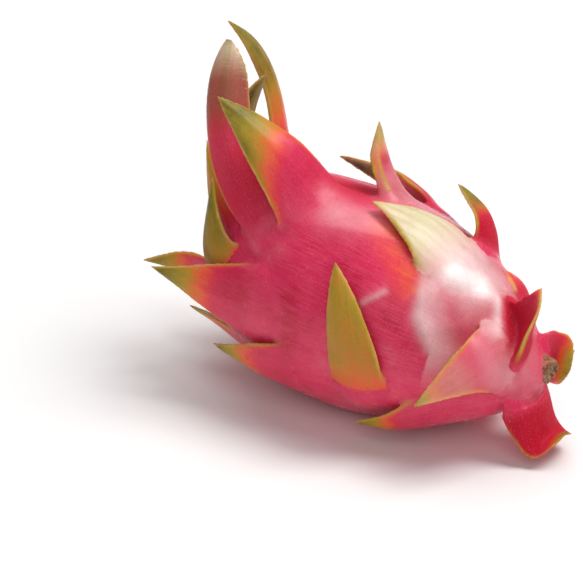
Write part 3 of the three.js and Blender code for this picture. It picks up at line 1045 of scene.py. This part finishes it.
def skinColour(n, looks, noise):
    # the looks choose between colours, one over the other, and the patterns break them up
    def over(colour, name, top, look=None):
        # top over colour by how much of the cover shows, times the look where there is one
        follows, *given = covers[name]
        shown = n.span(noise[follows], *given)
        return n.blend(n.times(looks[look], shown) if look else shown, colour, top)

    skin = over(finish["pink"], "palePatch", finish["palePink"])
    skin = over(skin, "deepPatch", finish["deepPink"])
    skin = over(skin, "paleFibre", finish["palePink"])
    uneven = centred(n, noise["mottle"], swing["mottle"])
    uneven = n.plus(uneven, centred(n, noise["streaks"], swing["streaks"]))
    uneven = n.times(uneven, n.span(looks["ripe"], 0, swing["over"]))
    ripened = rampOf(n, n.plus(looks["ripe"], uneven, clamp=True))
    colour = n.blend(n.span(looks["ripe"], 0, finish["ripeOver"]), skin, ripened)
    # the whitening of roots and ridges: a pale bloom with a painted highlight over it
    colour = over(colour, "paleAndHighlight", finish["paleAndHighlight"], "paleAndHighlight")
    colour = over(colour, "brown", finish["brown"], "brown")
    # crimson: partly the fruit's own colour and partly painted shade
    colour = n.blend(looks["deep"], colour, finish["crimson"])
    cream = over(finish["cream"], "creamStreak", finish["creamGreen"])
    colour = over(colour, "pale", cream, "pale")
    margin = over(finish["tan"], "oliveRim", finish["oliveRim"])
    colour = over(colour, "rim", margin, "rim")
    colour = over(colour, "paleSpot", finish["paleSpot"])
    colour = over(colour, "pore", finish["pore"])
    return over(colour, "dry", over(finish["bark"], "fibre", finish["fibre"]), "dry")


def skinRoughness(n, looks, noise):
    # smooth to rough with the mottle, plus more where it is ripe, crimson or dry
    rough = n.span(noise["mottle"], *finish["roughOver"], finish["smooth"], finish["rough"])
    rough = n.plus(rough, n.span(looks["ripe"], *finish["matteOver"], 0, finish["matte"]))
    rough = n.plus(rough, n.times(looks["deep"], finish["innerMatte"]))
    return n.plus(rough, n.times(looks["dry"], finish["dryMatte"]), clamp=True)


def skinRelief(n, looks, noise):
    # the sum of the patterns times their heights, as a bump of under a millimetre
    total = n.times(noise["fibres"], relief["fibres"])
    for name in ("speckle", "mottle"):
        total = n.plus(total, n.times(noise[name], relief[name]))
    for name, look in (("wrinkles", "wrinkle"), ("bark", "dry")):
        where = n.times(noise[name], looks[look])
        total = n.plus(total, n.times(where, relief[name]))
    bump = n.add("ShaderNodeBump")
    bump.inputs["Strength"].default_value = relief["strength"]
    bump.inputs["Distance"].default_value = relief["height"]
    n.link(total, bump.inputs["Height"])
    return bump.outputs[0]


def skinFinish():
    # one material for the whole fruit: colour, roughness and relief from the same looks and patterns
    material = bpy.data.materials.new("fruitSkin")
    n = Nodes(material)
    looks = looksCarried(n)
    noise = patternsOf(n)
    sockets = n.shader(gloss)
    n.link(skinColour(n, looks, noise), sockets["Base Color"])
    n.link(skinRoughness(n, looks, noise), sockets["Roughness"])
    n.link(skinRelief(n, looks, noise), sockets["Normal"])
    return material


fruit.data.materials.clear()
fruit.data.materials.append(skinFinish())
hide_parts("dragon_fruit")
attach(fruit, "root")
report("skin finished")


studio = {
    "azimuth": 38,
    "elevation": 26,
    "distance": 760,
    "focalPixels": 2030,  # focal length in pixels of a picture 583 wide
    "picture": (583, 563),
    "middleAt": (378, 303),  # where the middle of the body stands in that picture
    "halfFloor": 6,
    "lampDistance": 4,
    "world": 0.2,
    "sensor": 36,
    "clip": (0.01, 50),
}
floorFinish = {"Base Color": (0.94, 0.94, 0.94, 1), "Roughness": 0.6, "Specular IOR Level": 0.2}
# Way from the fruit to each lamp, size in metres, power in watts.
lamps = {
    "key": dict(way=(0.32, 0.34, 0.88), size=2, power=104, colour=(1, 0.995, 0.98)),
    "top": dict(way=(-0.22, 0.24, 0.94), size=3.2, power=56, colour=(1, 1, 1)),
    "front": dict(way=(0.4, -0.65, 0.62), size=4, power=38, colour=(1, 1, 1)),
}


def makeFloor():
    # one square with its middle under the fruit
    half = studio["halfFloor"]
    corners = [(-half, -half, 0), (half, -half, 0), (half, half, 0), (-half, half, 0)]
    mesh = bpy.data.meshes.new("floor")
    mesh.from_pydata(corners, [], [(0, 1, 2, 3)])
    material = bpy.data.materials.new("paleFloor")
    Nodes(material).shader(floorFinish)
    mesh.materials.append(material)
    stood("floor", mesh)


def aimed(thing, position, back, right):
    # turns a lamp or camera so that its -Z looks along -back and its X along right
    ways = np.stack([right, np.cross(back, right), back], 1)
    rows = [[*way, at] for way, at in zip(ways, position)]
    thing.matrix_world = Matrix([*rows, [0, 0, 0, 1]])


def makeLamps():
    # each lamp stands along its way from the middle of the body and looks back at it
    middle = place(body["length"] / 2, 0, 0) * toMetres
    for name, lamp in lamps.items():
        light = bpy.data.lights.new(name, "AREA")
        light.shape = "DISK"
        light.size, light.energy, light.color = lamp["size"], lamp["power"], lamp["colour"]
        back = unit(np.array(lamp["way"]))
        right = unit(np.cross([0, 0, 1.0], back))
        aimed(stood(name, light), middle + back * studio["lampDistance"], back, right)
    world = bpy.data.worlds.new("studio")
    world.use_nodes = True
    background = world.node_tree.nodes["Background"]
    background.inputs[0].default_value = (1, 1, 1, 1)
    background.inputs[1].default_value = studio["world"]
    bpy.context.scene.world = world


def makeCamera():
    # the camera backs off from the middle of the body, and shifts sideways so that the middle falls
    # at its place in the picture: offset in pixels * distance / focal length
    turn, rise = np.radians(studio["azimuth"]), np.radians(studio["elevation"])
    right = np.array([np.cos(turn), np.sin(turn), 0])
    back = np.array([np.sin(turn) * np.cos(rise), -np.cos(turn) * np.cos(rise), np.sin(rise)])
    up = np.cross(back, right)
    wide, high = studio["picture"]
    perPixel = studio["distance"] / studio["focalPixels"]
    offRight = (studio["middleAt"][0] - wide / 2) * perPixel
    offUp = (high / 2 - studio["middleAt"][1]) * perPixel
    middle = place(body["length"] / 2, 0, 0)
    position = middle + back * studio["distance"] - right * offRight - up * offUp
    camera = bpy.data.cameras.new("camera")
    camera.sensor_width = studio["sensor"]
    camera.lens = studio["sensor"] * studio["focalPixels"] / wide
    camera.clip_start, camera.clip_end = studio["clip"]
    thing = stood("camera", camera)
    aimed(thing, position * toMetres, back, right)
    bpy.context.scene.camera = thing


makeFloor()
makeLamps()
makeCamera()
bpy.context.scene.view_settings.view_transform = "Standard"
report("studio set")
